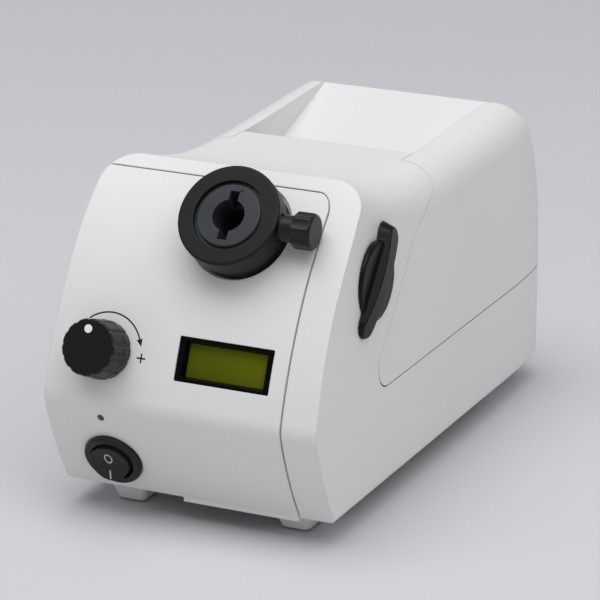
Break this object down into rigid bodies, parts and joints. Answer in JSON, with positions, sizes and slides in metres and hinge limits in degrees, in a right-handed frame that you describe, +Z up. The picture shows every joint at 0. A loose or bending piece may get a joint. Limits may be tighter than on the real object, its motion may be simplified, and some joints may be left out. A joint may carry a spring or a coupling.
{
  "type": "fiber optic illuminator",
  "caption": "Bench light source in a sloping moulded housing with a tilted light guide collar, clamp screw, dimmer knob, rocker switch, display, filter slide and hand recess.",
  "frame": {"origin": "centre of the object's bounding box in X and Y, on the surface that the foot pads stand on", "axes": "+X to the object's right as seen from its front, where the filter grip is; +Y from the collar to the mains inlet; +Z up"},
  "size_m": [0.124, 0.2576, 0.1465],
  "materials": {
    "housing_plastic": "fine moulded grain, satin",
    "plated_steel": "zinc plated",
    "pad_rubber": "matt",
    "black_anodised": "black anodised, satin",
    "dark_insert": "dark grey anodised, faced",
    "brass": "machined",
    "black_plastic": "moulded, satin",
    "white_mark": "smooth",
    "lcd_olive": "smooth, unlit",
    "lamp_dark": "smooth, unlit",
    "board_green": "lacquered board with its parts",
    "optical_glass": "polished",
    "blue_filter": "polished",
    "charcoal_plastic": "moulded, fine grain",
    "bare_aluminium": "as extruded",
    "phosphor": "smooth"
  },
  "bodies": {
    "housing": {"lower_housing": "housing_plastic", "front_panel": "housing_plastic", "top_cover": "housing_plastic", "base_plate": "plated_steel", "feet": "housing_plastic", "foot_pads": "pad_rubber", "foot_screws": "plated_steel", "housing_screws": "plated_steel", "collar": "black_anodised", "guide_insert": "dark_insert", "collar_nut": "black_anodised", "clamp_bush": "black_anodised", "dimmer_control": "plated_steel", "dimmer_nut": "plated_steel", "switch_body": "black_plastic", "display_frame": "black_plastic", "lcd_screen": "lcd_olive", "status_lamp": "lamp_dark", "control_board": "board_green", "front_barrel": "black_anodised", "front_lens": "optical_glass", "rear_barrel": "black_anodised", "rear_lens": "optical_glass", "filter_guide": "black_anodised", "led_board": "bare_aluminium", "led_emitter": "phosphor", "heat_sink": "bare_aluminium", "fan_frame": "black_plastic", "engine_brackets": "plated_steel", "driver_board": "board_green", "power_supply": "board_green", "board_posts": "plated_steel", "inlet_socket": "black_plastic", "inlet_pins": "brass"},
    "filter_slide_body": {"filter_slider": "black_anodised", "filter_handle": "charcoal_plastic", "filter_glass": "blue_filter", "filter_ring": "plated_steel"},
    "clamp_pad": {"clamp_tip": "brass"},
    "clamp_screw": {"clamp_head": "black_anodised", "clamp_stud": "plated_steel"},
    "dimmer": {"dimmer_knob": "black_plastic", "knob_marker": "white_mark", "dimmer_shaft": "plated_steel"},
    "rocker": {"switch_rocker": "black_plastic"},
    "fan": {"fan_rotor": "black_plastic"},
    "fuse_holder": {"fuse_drawer": "black_plastic", "fuse": "optical_glass"}
  },
  "joints": [
    {"name": "filter_slide", "type": "slide", "parent": "housing", "child": "filter_slide_body", "axis": [1, 0, 0], "range_m": [0, 0.045]},
    {"name": "clamp_advance", "type": "slide", "parent": "housing", "child": "clamp_pad", "axis": [1, 0, 0], "range_m": [-0.0015, 0.0015]},
    {"name": "clamp_turn", "type": "hinge", "parent": "clamp_pad", "child": "clamp_screw", "pos_m": [0.00843, -0.08804, 0.12647], "axis": [1, 0, 0], "range_deg": [-772, 772]},
    {"name": "dimmer_turn", "type": "hinge", "parent": "housing", "child": "dimmer", "pos_m": [-0.03787, -0.11107, 0.0731], "axis": [0, -0.9263, 0.3769], "range_deg": [-135, 135]},
    {"name": "rocker_tilt", "type": "hinge", "parent": "housing", "child": "rocker", "pos_m": [-0.03607, -0.1057, 0.02696], "axis": [1, 0, 0], "range_deg": [0, 20]},
    {"name": "fan_spin", "type": "hinge", "parent": "housing", "child": "fan", "pos_m": [0.00843, -0.00865, 0.06149], "axis": [0, -0.7738, 0.6334], "continuous": true},
    {"name": "fuse_slide", "type": "slide", "parent": "housing", "child": "fuse_holder", "axis": [0, 1, 0], "range_m": [0, 0.016]}
  ],
  "couplings": [
    {"joint": "clamp_turn", "follows": "clamp_advance", "rad_per_m": 8976}
  ]
}
